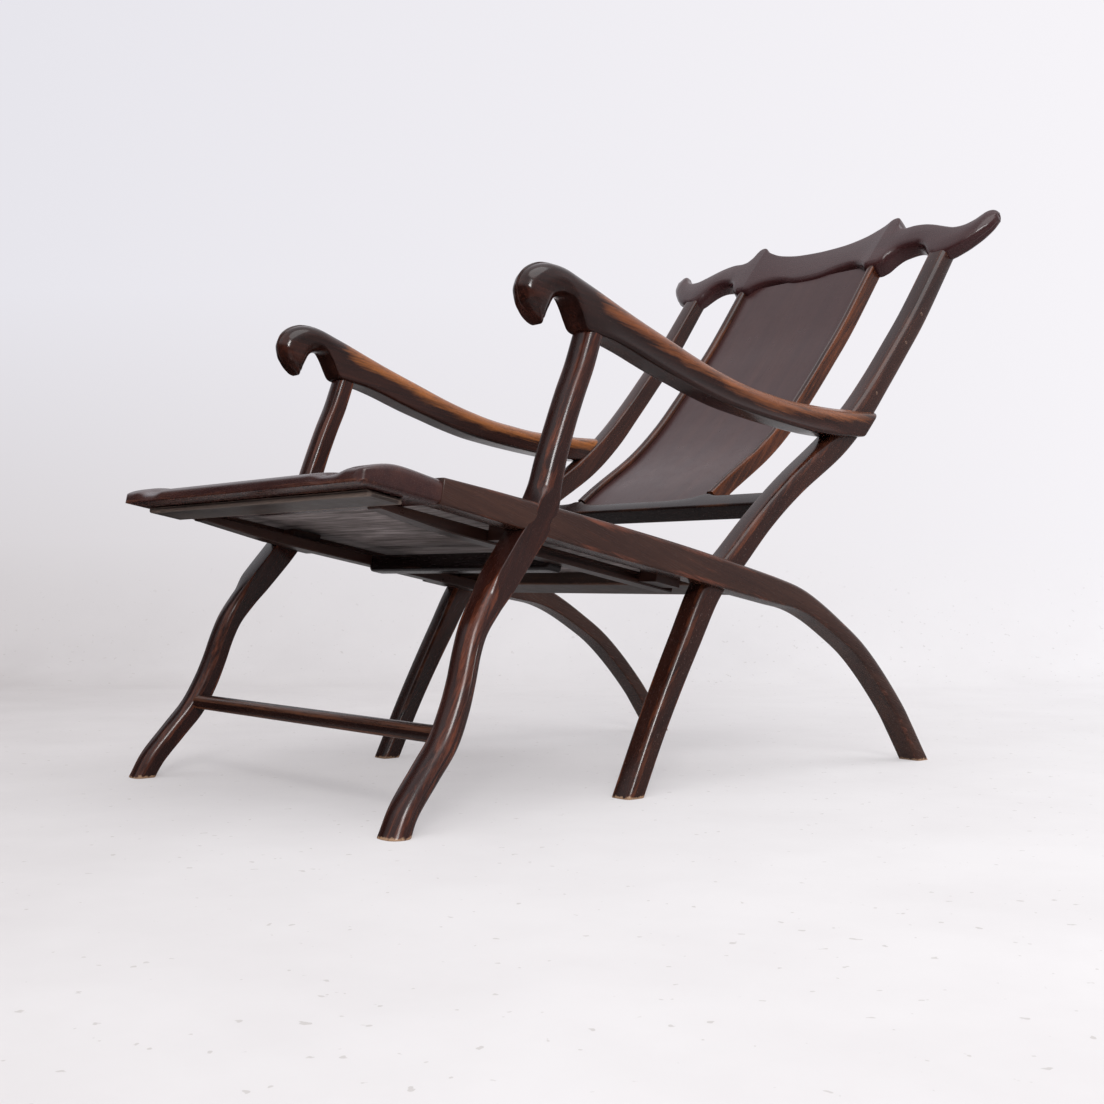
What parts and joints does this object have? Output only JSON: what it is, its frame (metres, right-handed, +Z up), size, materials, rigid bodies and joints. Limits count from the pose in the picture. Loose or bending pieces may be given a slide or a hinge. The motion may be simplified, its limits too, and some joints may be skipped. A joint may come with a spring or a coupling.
{
  "type": "lounge chair",
  "caption": "Low reclining lounge chair in dark hardwood with crossed curved legs, scroll arms, a panelled raked back and a footrest that slides out from under the seat",
  "frame": {"origin": "middle of the bounding box's bottom, on the floor between the feet", "axes": "+Z up, the chair faces -Y, +X to the sitter's left"},
  "size_m": [0.7184, 1.2326, 0.9123],
  "materials": {
    "dark_lacquer": "dark reddish brown lacquer, satin gloss",
    "worn_lacquer": "dark brown lacquer, worn satin",
    "panel_lacquer": "smooth brown lacquer, satin",
    "raw_underside": "bare sawn wood, matte",
    "peg_wood": "bare peg end grain, matte"
  },
  "bodies": {
    "chair_frame": {"seat_rail_left": "worn_lacquer", "seat_rail_right": "worn_lacquer", "front_leg_left": "worn_lacquer", "front_leg_right": "worn_lacquer", "back_stile_left": "worn_lacquer", "back_stile_right": "worn_lacquer", "arm_left": "dark_lacquer", "arm_right": "dark_lacquer", "crest_rail": "dark_lacquer", "lower_back_rail": "dark_lacquer", "splat_panel": "panel_lacquer", "splat_stile_left": "dark_lacquer", "splat_stile_right": "dark_lacquer", "seat_front_board": "dark_lacquer", "seat_rear_board": "dark_lacquer", "seat_panel": "raw_underside", "front_stretcher": "dark_lacquer", "lap_pin_left": "peg_wood", "lap_pin_right": "peg_wood", "stile_peg_upper_left": "peg_wood", "stile_peg_middle_left": "peg_wood", "stile_peg_lower_left": "peg_wood", "stile_peg_upper_right": "peg_wood", "stile_peg_middle_right": "peg_wood", "stile_peg_lower_right": "peg_wood", "footrest_keeper_front_left": "dark_lacquer", "footrest_keeper_front_right": "dark_lacquer", "footrest_keeper_rear_left": "dark_lacquer", "footrest_keeper_rear_right": "dark_lacquer"},
    "footrest": {"footrest_front_rail": "dark_lacquer", "footrest_runner_left": "dark_lacquer", "footrest_runner_right": "dark_lacquer", "footrest_batten": "dark_lacquer"}
  },
  "joints": [
    {"name": "footrest_slide", "type": "slide", "parent": "chair_frame", "child": "footrest", "axis": [0, -0.9816, 0.1908], "range_m": [0, 0.24]}
  ]
}
